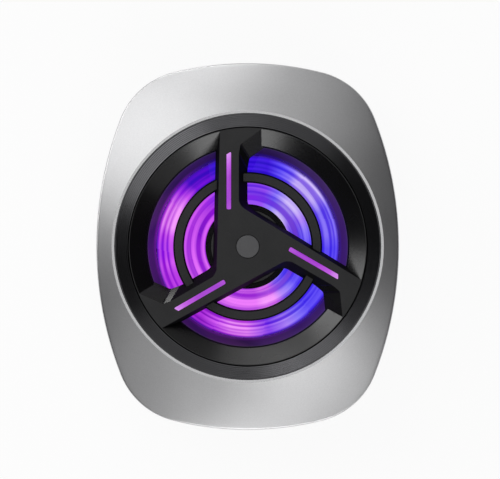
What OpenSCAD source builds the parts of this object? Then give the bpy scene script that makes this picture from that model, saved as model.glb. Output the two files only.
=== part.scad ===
// Magnetic cooling fan for the back of a phone, in millimetres.
// The contact face lies on the plane z = 0 and the fan's axis is Z.
// +Y is the end away from the power socket.

/* [Outline] */
// Overall width across the bowed long sides
body_w = 70; // [68:0.5:80]
// Overall length between the bowed ends
body_l = 85; // [83:0.5:96]
// Radius of the bowed long sides
side_arc_r = 82.5; // [76:0.5:110]
// Radius of the bowed ends
end_arc_r = 72; // [66:0.5:100]
// Radius of the four corners
corner_r = 17.5; // [15:0.5:20]
// Thickness of the casing walls
wall = 1.6; // [1.3:0.1:1.9]
// How far the black casings sit inside the edge of the front shell
casing_inset = 1; // [0.6:0.1:1.3]
// Radius of the dome that the front shell follows
front_dome_r = 120; // [100:5:180]
// Radius of the dome that the rear cover follows
rear_dome_r = 110; // [95:5:160]
// Height of the front shell, from its lower edge to its round opening
shell_h = 8; // [7.5:0.1:9]

/* [Front] */
// Radius of the round opening in the front shell
opening_r = 31; // [30:0.1:31.6]
// Bevel around the opening of the front shell
opening_bevel = 0.5; // [0.3:0.05:0.7]
// How far the opening of the front shell stands above the grille's face
opening_rise = 0.5; // [0.3:0.05:0.8]
// Width of the finely grooved trim ring
trim_w = 3.5; // [3:0.1:4]
// Width of the sloping bowl around the windows
bowl_w = 4.1; // [3.6:0.1:4.6]
// Depth of the grille, from its face to the bottom of its windows
grille_depth = 3.4; // [3:0.1:4]
// Middle radius of the guard ring that crosses the windows
guard_ring_r = 16; // [14.5:0.05:17]
// Width of the guard ring
guard_ring_w = 2.5; // [1.8:0.1:3]
// How far the guard ring lies below the grille's face
guard_ring_drop = 1.8; // [1.4:0.1:2.2]
// Radius of the plain badge on the hub
badge_r = 2.7; // [2:0.1:3.5]

/* [Spokes] */
// Distance of a spoke's near edge from the fan's axis
spoke_near = 2.05; // [1.4:0.05:2.4]
// Width of a spoke's face, where it is widest
spoke_w = 5; // [4.6:0.1:5.8]
// How much a spoke narrows towards the rim, in degrees
spoke_taper = 1.4; // [0:0.1:2]
// How far a spoke's near wall leans out over the grille's depth
near_draft = 2; // [1.5:0.1:2.4]
// How far a spoke's far wall leans out over the grille's depth
far_draft = 0.9; // [0.5:0.1:1.4]
// Distance of the shoulder beside a spoke from the fan's axis, at the face
shoulder_d = 20.1; // [19.5:0.1:21]
// Direction in which the shoulder faces away from its window, in degrees
shoulder_angle = 126; // [122:1:130]
// How far the shoulder leans in over the grille's depth
shoulder_draft = 3.8; // [3.2:0.1:4.2]
// Distance of the facet between the shoulder and a spoke's near wall from the fan's axis, at the face
facet_d = 5.85; // [5.4:0.05:6.2]
// Direction in which the facet faces away from its window, in degrees
facet_angle = 170; // [164:1:174]
// How far the facet leans in over the grille's depth
facet_draft = 2.65; // [2.4:0.05:2.9]
// Radius of a window's inner corner
window_fillet = 2.4; // [1.5:0.1:3]
// Distance along a spoke from the fan's axis to the light bar
bar_start = 8.6; // [8:0.1:9.5]
// Length of a light bar's face
bar_l = 13.2; // [11:0.1:14]
// Width of a light bar
bar_w = 1.05; // [0.9:0.05:1.5]

/* [Fan] */
// Number of fan blades
blade_count = 11; // [9:1:12]
// Radius of the blade tips
blade_tip_r = 21; // [19.5:0.1:21.4]
// Radius of the impeller's hub
hub_r = 9.4; // [8.8:0.05:9.6]
// Height of the impeller
blade_h = 6.4; // [6.2:0.1:7.5]
// Width of a blade around the axis
blade_w = 12.8; // [11:0.1:13.5]
// Thickness of a blade
blade_t = 0.9; // [0.7:0.05:1.2]
// How far a blade bows out of its chord
blade_bow = 1; // [0.6:0.1:1.6]
// Gap between the blade tips and the duct
tip_gap = 0.5; // [0.4:0.05:0.8]
// Radius of the fan's shaft
shaft_r = 1; // [0.75:0.05:1.2]
// Number of poles on the stator
pole_count = 4; // [4:1:6]

/* [Cooling stack] */
// Thickness of the silicone contact ring
pad_t = 1.2; // [1:0.1:1.5]
// Thickness of the heat-conducting pad on the cold plate
thermal_pad_t = 0.6; // [0.4:0.1:0.8]
// Radius of the cold plate's contact face
cold_plate_r = 21; // [19.5:0.1:21.4]
// Thickness of the cold plate
cold_plate_t = 2.6; // [2.4:0.1:3.2]
// Side of the square cooling element
tec_side = 30; // [27:0.5:30]
// Thickness of one ceramic plate of the cooling element
ceramic_t = 0.7; // [0.5:0.05:0.9]
// Height of the pellets between the ceramic plates
pellet_h = 1.6; // [1.4:0.1:2]
// Radius of the heat sink
sink_r = 27.5; // [27:0.1:28.3]
// Thickness of the heat sink's base
sink_base_t = 2; // [1.6:0.1:2.6]
// Height of the heat sink's fins
fin_h = 5.2; // [4.6:0.1:6]
// Thickness of a fin
fin_t = 0.7; // [0.5:0.05:0.9]
// Number of fins
fin_count = 36; // [30:2:42]
// Inner radius of the magnet ring
magnet_in_r = 23.2; // [23.1:0.1:24]
// Outer radius of the magnet ring
magnet_out_r = 28; // [27:0.1:28.2]
// Height of the magnets
magnet_t = 2.2; // [1.8:0.1:2.4]
// Number of magnets in the ring
magnet_count = 16; // [12:2:20]

/* [Vents and socket] */
// Width of an air outlet slot
slot_w = 2.2; // [1.6:0.1:2.6]
// Distance between neighbouring slots
slot_pitch = 3.8; // [3.4:0.1:4.4]
// Number of slots in each long side
side_slots = 13; // [7:2:13]
// Number of slots in the end away from the socket
end_slots = 7; // [3:2:7]
// Width of the power socket's shell
socket_w = 8.94; // [8.9:0.02:9]
// Height of the power socket's shell
socket_h = 3.2; // [3.1:0.02:3.3]
// Length of the power socket's shell
socket_l = 7.3; // [6.8:0.1:7.6]
// Width of the control board
board_w = 28; // [24:0.5:29]
// Length of the control board
board_l = 7.4; // [7:0.1:7.6]

/* [Hidden] */
$fn = 96;

// Fits, small thicknesses, and how far a cutter reaches past what it cuts
fit = 0.1;
hair = 0.02;
eps = 0.01;
over = 1;
run_fit = 0.03;
seat_gap = 0.3;
run_gap = 0.6;
floor_t = 0.8;
fan_floor_t = 1.2;
board_t = 0.8;

// Outline: centres of the side, end and corner arcs
side_c = body_w / 2 - side_arc_r;
end_c = body_l / 2 - end_arc_r;
arc_gap = norm([side_c, end_c]);
side_reach = side_arc_r - corner_r;
end_reach = end_arc_r - corner_r;
arc_along = (pow(arc_gap, 2) + pow(side_reach, 2) - pow(end_reach, 2)) / (2 * arc_gap);
arc_across = sqrt(pow(side_reach, 2) - pow(arc_along, 2));
corner_c = [side_c, 0] + [-side_c, end_c] / arc_gap * arc_along - [end_c, side_c] / arc_gap * arc_across;
side_turn = atan2(corner_c.y, corner_c.x - side_c);
end_turn = atan2(corner_c.y - end_c, corner_c.x);
arc_steps = 14;

// Levels, from the contact face up
z_floor = pad_t + floor_t;
z_tec = thermal_pad_t + cold_plate_t;
z_sink = z_tec + 2 * ceramic_t + pellet_h;
z_fins = z_sink + sink_base_t;
z_fan = z_fins + fin_h + seat_gap;
z_rotor = z_fan + fan_floor_t + run_gap;
z_blade_top = z_rotor + blade_h;
z_window = z_blade_top + run_gap;
z_face = z_window + grille_depth;
z_open = z_face + opening_rise;
z_shell = z_open - shell_h;
z_split = z_fins + seat_gap;

// Domes: heights of their centres, and of a dome's surface at a distance from the axis
front_dome_z = z_open - sqrt(pow(front_dome_r, 2) - pow(opening_r, 2));
contact_margin = 1.5;
contact_out_r = magnet_out_r + contact_margin;
rear_flat_margin = 1;
rear_flat_r = contact_out_r + rear_flat_margin;
rear_dome_z = pad_t + sqrt(pow(rear_dome_r, 2) - pow(rear_flat_r, 2));
function rear_face_z(r) = rear_dome_z - sqrt(pow(rear_dome_r, 2) - pow(r, 2));
function front_ceiling_z(r) = front_dome_z + sqrt(pow(front_dome_r - wall, 2) - pow(r, 2));

// Case screws, one in each corner
screw_r = 1;
screw_clear = 0.15;
screw_clear_r = screw_r + screw_clear;
screw_head_r = 1.9;
screw_head_h = 1.3;
boss_r = 3;
boss_bite = 0.4;
boss_reach = corner_r - casing_inset - wall - boss_r + boss_bite;
boss_turn = (side_turn + end_turn) / 2;
boss_at = corner_c + boss_reach * [cos(boss_turn), sin(boss_turn)];
boss_depth = 3;
head_recess = 2.2;
screw_head_gap = 0.2;
screw_tip_gap = 0.4;
cross_reach = 1.2;
cross_width = 0.28;
z_seat = rear_face_z(norm(boss_at)) + head_recess;

// Trim ring and grille
trim_out_r = opening_r - fit;
trim_in_r = opening_r - trim_w;
trim_fall = 0.25;
trim_flange_w = 1.4;
trim_flange_r = opening_r + trim_flange_w;
trim_flange_t = 1.2;
z_trim_flange = front_ceiling_z(trim_flange_r) - fit;
z_trim = z_trim_flange - trim_flange_t;
grille_r = trim_in_r - fit;
grille_lip = 0.2;
bowl_top_r = grille_r - grille_lip;
window_r = bowl_top_r - bowl_w;
grille_flange_gap = 0.5;
grille_flange_r = trim_out_r - grille_flange_gap;
grille_flange_t = 1.2;
z_grille_flange = z_trim - grille_flange_t;
grille_skirt_w = 0.6;
grille_screw_r = 0.8;
grille_screw_bite = 1.3;
grille_head_r = 1.3;
grille_head_h = 0.7;
grille_screw_shift = 0.2;
grille_screw_at = (grille_r + grille_flange_r) / 2 + grille_screw_shift;
grille_screw_turn = 40;
guard_ring_h = grille_depth - guard_ring_drop;
badge_t = 0.5;
hub_core_r = 5.2;
hub_skin = 1.4;
spoke_far = spoke_near + spoke_w;

// Light bars: a face bar in the middle of its spoke, a tail under the skin and a leg down to its lamp
bar_fit = 0.05;
bar_end = bar_start + bar_l;
bar_at = spoke_near + (spoke_w - (bar_start + bar_end) / 2 * tan(spoke_taper)) / 2;
bar_t = 1.4;
bar_leg_at = window_r + 2;
bar_leg_w = 1.2;
bar_tail_drop = 1.2;
bar_tail_t = 1.2;
bar_lamp_w = 1.4;
bar_lamp_turn = atan2(bar_leg_at, -bar_at);
bar_lamp_r = norm([bar_leg_at, bar_at]);

// Duct, lamps and diffuser
duct_r = blade_tip_r + tip_gap;
duct_wall = 1.6;
diffuser_ledge = 0.8;
diffuser_out_r = window_r + diffuser_ledge;
diffuser_foot = 2.7;
diffuser_lip = 0.6;
z_diffuser = z_window - diffuser_foot;
lamp_board_in_r = diffuser_out_r + seat_gap;
lamp_board_out_r = grille_r - grille_skirt_w - fit;
lamp_board_t = 0.8;
lamp_h = 0.7;
lamp_gap = 0.2;
z_lamp_board = z_window - lamp_gap - lamp_h - lamp_board_t;
lamp_count = 12;
lamp_w = 2;
lamp_d = 1.2;
frame_shelf_t = 0.8;
frame_shelf_fall = 1;
strut_count = 4;
strut_w = 2.2;
strut_bite = 1;

// Motor
yoke_t = 0.6;
hub_wall = 0.8;
hub_top_t = 1;
cap_t = 0.4;
cap_rim = 0.8;
cap_r = hub_r - cap_rim;
yoke_r = hub_r - hub_wall - hair;
yoke_rise = 0.2;
rotor_magnet_rise = 0.4;
rotor_magnet_t = 1.05;
rotor_magnet_r = yoke_r - yoke_t - hair;
air_gap = 0.4;
stator_r = rotor_magnet_r - rotor_magnet_t - air_gap;
stator_t = 2.6;
coil_t = 0.6;
arm_w = 2.2;
shoe_t = 0.7;
shoe_share = 2 / 3;
shoe_turn = shoe_share * 360 / pole_count;
tube_wall = 0.7;
sleeve_t = 1.2;
sleeve_r = shaft_r + run_fit + sleeve_t;
tube_r = sleeve_r + hair + tube_wall;
tube_foot_w = 0.7;
tube_foot_r = tube_r + tube_foot_w;
z_motor_floor = z_fan + fan_floor_t;
motor_board_t = 0.6;
motor_board_r = stator_r;
z_stator = z_motor_floor + motor_board_t + coil_t + seat_gap;
z_yoke_top = z_blade_top - hub_top_t - hair;
thrust_t = 0.6;
shaft_float = 0.05;
clip_t = 0.25;
clip_gap = 0.4;
z_shaft = z_fan + thrust_t + shaft_float;
z_sleeve = z_shaft + clip_t + 2 * shaft_float;
tube_top = z_yoke_top - yoke_t - seat_gap;

// Heat sink fixings: ears on posts of the rear cover, and posts that carry the fan frame
ear_out = 2.7;
ear_at = sink_r + ear_out;
ear_r = 2.6;
ear_turn = 45;
ear_bite = 1;
ear_screw_depth = 2.8;
sink_head_r = 1.8;
sink_head_h = 1.1;
fan_post_in = 2.3;
fan_post_at = sink_r - fan_post_in;
fan_post_r = 2;
fan_ear_r = 2.3;
fan_ear_t = 2;
fan_screw_bite = 3;
fan_head_r = 1.7;
fan_head_h = 1;
fan_post_turn = 90;
fin_in_r = 8;

// Cold side
cold_flange_gap = 0.8;
cold_flange_r = magnet_in_r - cold_flange_gap;
cold_gap = 0.2;
cold_hole_r = cold_plate_r + cold_gap;
magnet_rib = 0.5;
magnet_gap = 2;
yoke_ring_t = 0.5;
channel_in_r = magnet_in_r - fit;
channel_out_r = magnet_out_r + fit;
channel_h = magnet_t + yoke_ring_t;
seal_gap = 0.2;
seal_side = tec_side + 2 * seal_gap;
seal_w = 1.5;
pellet_rows = 8;
pellet_pitch = tec_side / pellet_rows;
pellet_share = 0.5;
pellet_w = pellet_pitch * pellet_share;

// Control board and power socket at the bottom end
casing_end = body_l / 2 - casing_inset;
socket_recess = 0.4;
socket_y = -casing_end + socket_recess;
socket_t = 0.3;
socket_corner = 1.2;
socket_clear = 0.25;
socket_back_t = 1.2;
tongue_w = 6.7;
tongue_t = 0.7;
tongue_recess = 1.2;
tongue_base_w = 7.2;
tongue_base_l = 1.2;
tongue_base_h = 2;
z_socket = (z_split + z_shell) / 2;
board_gap = 2.3;
board_y = -casing_end + wall + board_gap;
z_board = z_socket - socket_h / 2 - board_t;
post_r = 1.9;
post_margin = 0.6;
post_at = [board_w / 2 - post_r - post_margin, board_y + board_l / 2];
z_post = rear_face_z(norm(post_at)) + wall / 2;
board_screw_r = 0.8;
board_screw_depth = 3;
board_head_r = 1.4;
board_head_h = 0.8;
part_gap = 0.7;
part_margin = 0.6;
choke = [3, 3, 1.8];
regulator = [3, 2.6, 0.9];
resistor = [2, 1.2, 0.8];

// Lip of the middle frame inside the front shell
lip_h = 1.2;
lip_w = 0.9;

// Vents
slot_margin = 1.4;
z_slots = z_split + slot_margin;
slots_h = z_shell - slot_margin - z_slots;

// Leads
lead_r = 0.45;
lead_sides = 8;
lead_spread = 3;
lead_bend = 2;
lead_knee = 0.8;
lead_rise = 1.2;
lead_climb = 3;
z_fan_lead = z_motor_floor - lead_r - hair;
lead_bite = 1;
lead_slot_l = duct_r + 2 * duct_wall - motor_board_r + lead_bite + 2 * fit;
plug_w = 4;
plug_l = 1.2;
plug_h = 0.8;
plug_margin = 0.4;
plug_y = board_y + board_l - plug_l - plug_margin;

// Plain shapes shared by several pieces

// Ring between two radii
module ring(r_out, r_in, h) {
    difference() {
        cylinder(r = r_out, h = h);
        translate([0, 0, -eps]) cylinder(r = r_in, h = h + 2 * eps);
    }
}

// Children in all four corners, mirrored from the one at +X +Y
module corners() {
    for (x = [0, 1], y = [0, 1]) mirror([x, 0, 0]) mirror([0, y, 0]) children();
}

// Upright cylinder in each corner, on the line of its case screw
module corner_posts(r, low, high) {
    corners() translate([boss_at.x, boss_at.y, low]) cylinder(r = r, h = high - low);
}

// Children turned in equal steps around the fan's axis
module around(count, first = 0) {
    for (i = [0 : count - 1]) rotate(first + i * 360 / count) children();
}

// Points along an arc, without a number of points at each end
function arc(centre, r, from, to, skip = 0) = [for (i = [skip : arc_steps - skip])
    let(turn = from + (to - from) * i / arc_steps) centre + r * [cos(turn), sin(turn)]];

// Outline of the body, moved in by an inset: four large arcs joined by corner arcs
module outline(inset = 0) {
    half = concat(
        arc([side_c, 0], side_arc_r - inset, -side_turn, side_turn),
        arc(corner_c, corner_r - inset, side_turn, end_turn, 1),
        arc([0, end_c], end_arc_r - inset, end_turn, 180 - end_turn),
        arc([-corner_c.x, corner_c.y], corner_r - inset, 180 - end_turn, 180 - side_turn, 1)
    );
    polygon(concat(half, [for (p = half) -p]));
}

// Block of the body's outline between two levels
module outline_block(inset, low, high) {
    translate([0, 0, low]) linear_extrude(high - low) outline(inset);
}

// Pan-head screw with a cross recess: its head's seat lies on z = 0 and its shank points down
module screw(r, length, head_r, head_h) {
    cross_l = head_r * cross_reach;
    cross_w = head_r * cross_width;
    difference() {
        union() {
            cylinder(r = head_r, h = head_h);
            translate([0, 0, -length]) cylinder(r = r, h = length + eps);
        }
        for (turn = [0, 90]) rotate(turn)
            translate([-cross_l / 2, -cross_w / 2, head_h / 2]) cube([cross_l, cross_w, head_h]);
    }
}

// Tube of round section swept along points
function unit(v) = v / norm(v);
function along(pts, i) = unit(pts[min(i + 1, len(pts) - 1)] - pts[max(i - 1, 0)]);
function lead_ring(p, dir, side) = let(u = unit(cross(dir, side)), v = cross(u, dir))
    [for (k = [0 : lead_sides - 1]) let(a = k * 360 / lead_sides) p + lead_r * (cos(a) * u + sin(a) * v)];
function chain(pts) = [for (i = [0 : len(pts) - 1]) each lead_ring(pts[i], along(pts, i), [1, 0, 0])];

module lead(pts) {
    n = lead_sides;
    last = len(pts) - 1;
    polyhedron(
        chain(pts),
        concat(
            [[for (k = [0 : n - 1]) k]],
            [for (i = [0 : last - 1], k = [0 : n - 1])
                [i * n + k, i * n + n + k, i * n + n + (k + 1) % n, i * n + (k + 1) % n]],
            [[for (k = [n - 1 : -1 : 0]) last * n + k]]
        )
    );
}

// Front shell: a domed plate of anodised aluminium with a round opening and a deep edge

module front_dome(r) {
    translate([0, 0, front_dome_z]) sphere(r = r, $fn = 200);
}

module front_shell() color("silver") {
    difference() {
        intersection() {
            outline_block(0, z_shell, z_open + over);
            front_dome(front_dome_r);
        }
        difference() {
            intersection() {
                outline_block(wall, z_shell - over, z_open);
                front_dome(front_dome_r - wall);
            }
            corner_posts(boss_r, z_shell, z_open);
        }
        corner_posts(screw_r + hair, z_shell - over, z_shell + boss_depth);
        translate([0, 0, z_shell]) cylinder(r = opening_r, h = 2 * shell_h);
        translate([0, 0, z_open - opening_bevel])
            cylinder(r1 = opening_r, r2 = opening_r + 2 * opening_bevel, h = 2 * opening_bevel);
    }
}

// Trim ring: a black ring that falls slightly inwards, with a flange bonded under the shell

module trim_ring() color("#202020") difference() {
    rotate_extrude() polygon([
        [trim_in_r, z_trim], [trim_flange_r, z_trim], [trim_flange_r, z_trim_flange],
        [trim_out_r, z_trim_flange], [trim_out_r, z_face + trim_fall], [trim_in_r, z_face]
    ]);
    grille_screw_places() translate([0, 0, z_trim - over])
        cylinder(r = grille_screw_r + hair, h = grille_screw_bite + seat_gap + over);
}

module grille_screw_places() {
    around(3, grille_screw_turn) translate([grille_screw_at, 0, 0]) children();
}

// Front grille: three offset spokes around a hub, a sloping bowl and a guard ring

// Half plane on the far side of a line, which lies at a distance from the axis in a direction
module beyond(angle, distance) {
    rotate(angle) translate([distance, -4 * opening_r]) square(8 * opening_r);
}

// Outline of one window at a share of the grille's depth, from 0 at the face to 1 at the bottom
module window_slice(share) {
    difference() {
        circle(r = bowl_top_r - share * bowl_w);
        beyond(shoulder_angle, shoulder_d - share * shoulder_draft);
        beyond(facet_angle, facet_d - share * facet_draft);
        // The two spokes beside the window meet in a fillet
        offset(r = -window_fillet, $fn = 32) offset(delta = window_fillet) {
            beyond(180, spoke_near - share * near_draft);
            beyond(240 - spoke_taper, -spoke_far - share * far_draft);
        }
    }
}

module window() {
    more = hair / grille_depth;
    hull() {
        translate([0, 0, z_window - hair]) linear_extrude(hair) window_slice(1 + more);
        translate([0, 0, z_face]) linear_extrude(hair) window_slice(-more);
    }
}

// Light bar, or with a gap the cutter for its slot, which is open at both of its ends
module light_bar(gap) {
    open = gap > 0 ? over : 0;
    w = bar_w + 2 * gap;
    tail_low = z_face - bar_tail_drop - bar_tail_t - gap;
    tail_from = bar_end - bar_leg_w - gap;
    leg_to = bar_leg_at + bar_leg_w / 2 + gap;
    leg_low = z_window - lamp_gap / 2 - open;
    translate([-bar_at - w / 2, 0, 0]) {
        translate([0, bar_start - gap, z_face - bar_t - gap])
            cube([w, bar_l + 2 * gap, bar_t + gap + open]);
        translate([0, tail_from, tail_low]) cube([w, leg_to - tail_from, bar_tail_t + 2 * gap]);
        translate([0, leg_to - bar_leg_w - 2 * gap, leg_low])
            cube([w, bar_leg_w + 2 * gap, tail_low + bar_tail_t / 2 - leg_low]);
    }
}

module front_grille() color("#2c2c2c") difference() {
    union() {
        difference() {
            translate([0, 0, z_window]) cylinder(r = grille_r, h = grille_depth);
            around(3) window();
        }
        translate([0, 0, z_window])
            ring(guard_ring_r + guard_ring_w / 2, guard_ring_r - guard_ring_w / 2, guard_ring_h);
        translate([0, 0, z_grille_flange])
            ring(grille_flange_r, grille_r - grille_skirt_w, grille_flange_t);
    }
    around(3) light_bar(bar_fit);
    translate([0, 0, z_face - badge_t]) cylinder(r = badge_r + bar_fit, h = badge_t + over);
    translate([0, 0, z_window - eps]) cylinder(r = hub_core_r, h = grille_depth - hub_skin);
    grille_screw_places() translate([0, 0, z_grille_flange - eps])
        cylinder(r = grille_screw_r + fit, h = grille_flange_t + 2 * eps);
}

module hub_badge() color("#6a6a6a") translate([0, 0, z_face - badge_t]) cylinder(r = badge_r, h = badge_t);

module grille_screws() color("silver") grille_screw_places() translate([0, 0, z_grille_flange])
    rotate([180, 0, 0])
        screw(grille_screw_r, grille_flange_t + grille_screw_bite, grille_head_r, grille_head_h);

// Lamps: a ring board under the grille, side lamps for the duct and one lamp under each light bar

module diffuser_ring() color("#4a1a80") rotate_extrude() polygon([
    [duct_r, z_diffuser], [diffuser_out_r, z_diffuser], [diffuser_out_r, z_window - eps],
    [window_r, z_window - eps], [duct_r, z_diffuser + diffuser_lip]
]);

module lamp_board() color("#1f3d2a") translate([0, 0, z_lamp_board])
    ring(lamp_board_out_r, lamp_board_in_r, lamp_board_t);

module lamp(w, d) {
    translate([-d / 2, -w / 2, z_lamp_board + lamp_board_t]) cube([d, w, lamp_h]);
}

module side_lamps() color("white") around(lamp_count, bar_lamp_turn + 180 / lamp_count)
    translate([lamp_board_in_r + lamp_d / 2 + fit, 0, 0]) lamp(lamp_w, lamp_d);

module bar_lamps() color("white") around(3, bar_lamp_turn) translate([bar_lamp_r, 0, 0])
    rotate(90 - bar_lamp_turn) lamp(bar_lamp_w, bar_lamp_w);

// Rotor: impeller, cap, steel cup, ring magnet, shaft and the clip that keeps the shaft in its sleeve

// Section of a blade, around the axis by height: an arc between two corners of its box
module blade_section() {
    chord = norm([blade_w, blade_h]);
    bow_r = (pow(chord / 2, 2) + pow(blade_bow, 2)) / (2 * blade_bow);
    intersection() {
        translate([-blade_w / 2, 0]) square([blade_w, blade_h]);
        translate([0, blade_h / 2] - (bow_r - blade_bow) / chord * [-blade_h, blade_w]) difference() {
            circle(r = bow_r + blade_t / 2);
            circle(r = bow_r - blade_t / 2);
        }
    }
}

module blade() {
    translate([0, 0, z_rotor]) intersection() {
        ring(blade_tip_r, hub_r - hub_wall / 2, blade_h);
        rotate([90, 0, 90]) linear_extrude(blade_tip_r + over) blade_section();
    }
}

module impeller() color("#b060ff") {
    difference() {
        union() {
            translate([0, 0, z_rotor]) cylinder(r = hub_r, h = blade_h);
            around(blade_count) blade();
        }
        translate([0, 0, z_rotor - eps]) cylinder(r = hub_r - hub_wall, h = blade_h - hub_top_t + eps);
        translate([0, 0, z_blade_top - cap_t]) cylinder(r = cap_r + hair, h = cap_t + over);
    }
}

module hub_cap() color("#2a2a2a") translate([0, 0, z_blade_top - cap_t]) cylinder(r = cap_r, h = cap_t);

module rotor_yoke() color("#9a9a98") difference() {
    translate([0, 0, z_rotor + yoke_rise]) cylinder(r = yoke_r, h = z_yoke_top - z_rotor - yoke_rise);
    translate([0, 0, z_rotor]) cylinder(r = yoke_r - yoke_t, h = z_yoke_top - yoke_t - z_rotor);
    translate([0, 0, z_rotor]) cylinder(r = shaft_r, h = blade_h);
}

module rotor_magnet() color("#4a4a4a") {
    low = z_rotor + rotor_magnet_rise;
    translate([0, 0, low])
        ring(rotor_magnet_r, rotor_magnet_r - rotor_magnet_t, z_yoke_top - yoke_t - hair - low);
}

module fan_shaft() color("#c8c8c8") translate([0, 0, z_shaft])
    cylinder(r = shaft_r, h = z_yoke_top - z_shaft);

module shaft_clip() color("#8a8a8a") translate([0, 0, z_shaft + shaft_float])
    ring(sleeve_r - clip_gap, shaft_r + hair / 2, clip_t);

// Fan frame: motor base, struts, duct and the shelf that carries the lamp board

module fan_post_places() {
    around(3, fan_post_turn) translate([fan_post_at, 0, 0]) children();
}

module fan_frame() color("#242424") difference() {
    union() {
        translate([0, 0, z_fan]) cylinder(r = hub_r, h = fan_floor_t);
        translate([0, 0, z_fan]) cylinder(r = tube_foot_r, h = z_stator - z_fan);
        translate([0, 0, z_fan]) cylinder(r = tube_r, h = tube_top - z_fan);
        around(strut_count) translate([hub_r - strut_bite, -strut_w / 2, z_fan])
            cube([duct_r + duct_wall / 4 - hub_r + strut_bite, strut_w, fan_floor_t]);
        rotate_extrude() polygon([
            [duct_r, z_fan], [duct_r + duct_wall, z_fan],
            [duct_r + duct_wall, z_lamp_board - frame_shelf_t - frame_shelf_fall],
            [lamp_board_out_r, z_lamp_board - frame_shelf_t], [lamp_board_out_r, z_lamp_board],
            [diffuser_out_r + fit, z_lamp_board], [diffuser_out_r + fit, z_diffuser], [duct_r, z_diffuser]
        ]);
        fan_post_places() {
            translate([0, 0, z_fan]) cylinder(r = fan_ear_r, h = fan_ear_t);
            translate([duct_r + duct_wall / 2 - fan_post_at, -fan_ear_r, z_fan])
                cube([fan_post_at - duct_r - duct_wall / 2, 2 * fan_ear_r, fan_ear_t]);
        }
    }
    translate([0, 0, z_fan - eps]) cylinder(r = sleeve_r + hair, h = tube_top);
    fan_post_places() translate([0, 0, z_fan - eps]) cylinder(r = screw_r + fit, h = fan_ear_t + 2 * eps);
    translate([-lead_r - fit, -duct_r - 2 * duct_wall, z_fan_lead - lead_r - hair])
        cube([2 * (lead_r + fit), lead_slot_l, 2 * (lead_r + hair) + eps]);
}

module thrust_plate() color("#b0b0b0") translate([0, 0, z_fan]) cylinder(r = sleeve_r, h = thrust_t);

module bearing_sleeve() color("#b08040") translate([0, 0, z_sleeve])
    ring(sleeve_r, shaft_r + run_fit, tube_top - z_sleeve);

module motor_board() color("#1f3d2a") translate([0, 0, z_motor_floor])
    ring(motor_board_r, tube_foot_r + fit, motor_board_t);

module stator_core() color("#808488") translate([0, 0, z_stator]) difference() {
    union() {
        cylinder(r = tube_foot_r, h = stator_t);
        around(pole_count) translate([0, -arm_w / 2, 0]) cube([stator_r - shoe_t / 2, arm_w, stator_t]);
        around(pole_count) rotate(-shoe_turn / 2) rotate_extrude(angle = shoe_turn)
            translate([stator_r - shoe_t, 0]) square([shoe_t, stator_t]);
    }
    translate([0, 0, -eps]) cylinder(r = tube_r + hair, h = stator_t + 2 * eps);
}

module stator_coils() color("#b5652a") around(pole_count) {
    inner_w = arm_w + 2 * hair;
    outer_w = inner_w + 2 * coil_t;
    from = tube_foot_r + fit;
    length = sqrt(pow(stator_r - shoe_t, 2) - pow(outer_w / 2, 2)) - fit - from;
    translate([from, 0, z_stator + stator_t / 2]) difference() {
        translate([0, -outer_w / 2, -stator_t / 2 - coil_t]) cube([length, outer_w, stator_t + 2 * coil_t]);
        translate([-eps, -inner_w / 2, -stator_t / 2 - hair])
            cube([length + 2 * eps, inner_w, stator_t + 2 * hair]);
    }
}

module fan_screws() color("silver") fan_post_places() translate([0, 0, z_fan + fan_ear_t])
    screw(screw_r, fan_ear_t + fan_screw_bite, fan_head_r, fan_head_h);

// Cooling stack: heat sink, cooling element, cold plate and the magnetic contact face

module ear_places() {
    around(4, ear_turn) translate([ear_at, 0, 0]) children();
}

module heat_sink() color("#b8bcc0") difference() {
    union() {
        translate([0, 0, z_sink]) cylinder(r = sink_r, h = sink_base_t);
        ear_places() {
            translate([0, 0, z_sink]) cylinder(r = ear_r, h = sink_base_t);
            translate([-ear_out - ear_bite, -ear_r, z_sink])
                cube([ear_out + ear_bite, 2 * ear_r, sink_base_t]);
        }
        around(fin_count) translate([fin_in_r, -fin_t / 2, z_fins - eps])
            cube([sink_r - fin_in_r - seat_gap, fin_t, fin_h + eps]);
        fan_post_places() translate([0, 0, z_fins - eps])
            cylinder(r = fan_post_r, h = fin_h + seat_gap + eps);
    }
    fan_post_places() translate([0, 0, z_fan - fan_screw_bite - screw_tip_gap])
        cylinder(r = screw_r + hair, h = fan_screw_bite + screw_tip_gap + over);
    ear_places() translate([0, 0, z_sink - eps]) cylinder(r = screw_r + fit, h = sink_base_t + 2 * eps);
}

module sink_screws() color("silver") ear_places() translate([0, 0, z_fins])
    screw(screw_r, sink_base_t + ear_screw_depth - screw_tip_gap, sink_head_r, sink_head_h);

module ceramic(low) {
    translate([-tec_side / 2, -tec_side / 2, low]) cube([tec_side, tec_side, ceramic_t]);
}

module hot_ceramic() color("white") ceramic(z_sink - ceramic_t);

module cold_ceramic() color("white") ceramic(z_tec);

module pellets() color("#5a5a60") {
    first = (pellet_pitch - tec_side - pellet_w) / 2;
    for (i = [0 : pellet_rows - 1], j = [0 : pellet_rows - 1])
        translate([first + i * pellet_pitch, first + j * pellet_pitch, z_tec + ceramic_t])
            cube([pellet_w, pellet_w, pellet_h]);
}

module element_seal() color("#303030") difference() {
    outer = seal_side + 2 * seal_w;
    intersection() {
        translate([-outer / 2, -outer / 2, z_tec]) cube([outer, outer, z_sink - z_tec]);
        translate([0, 0, z_tec]) cylinder(r = cold_flange_r - seal_gap, h = z_sink - z_tec);
    }
    translate([-seal_side / 2, -seal_side / 2, z_tec - over]) cube([seal_side, seal_side, z_sink]);
    for (x = [-lead_spread, lead_spread]) translate([x - lead_r - fit, -outer, z_tec + ceramic_t])
        cube([2 * (lead_r + fit), outer, z_sink]);
}

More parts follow.
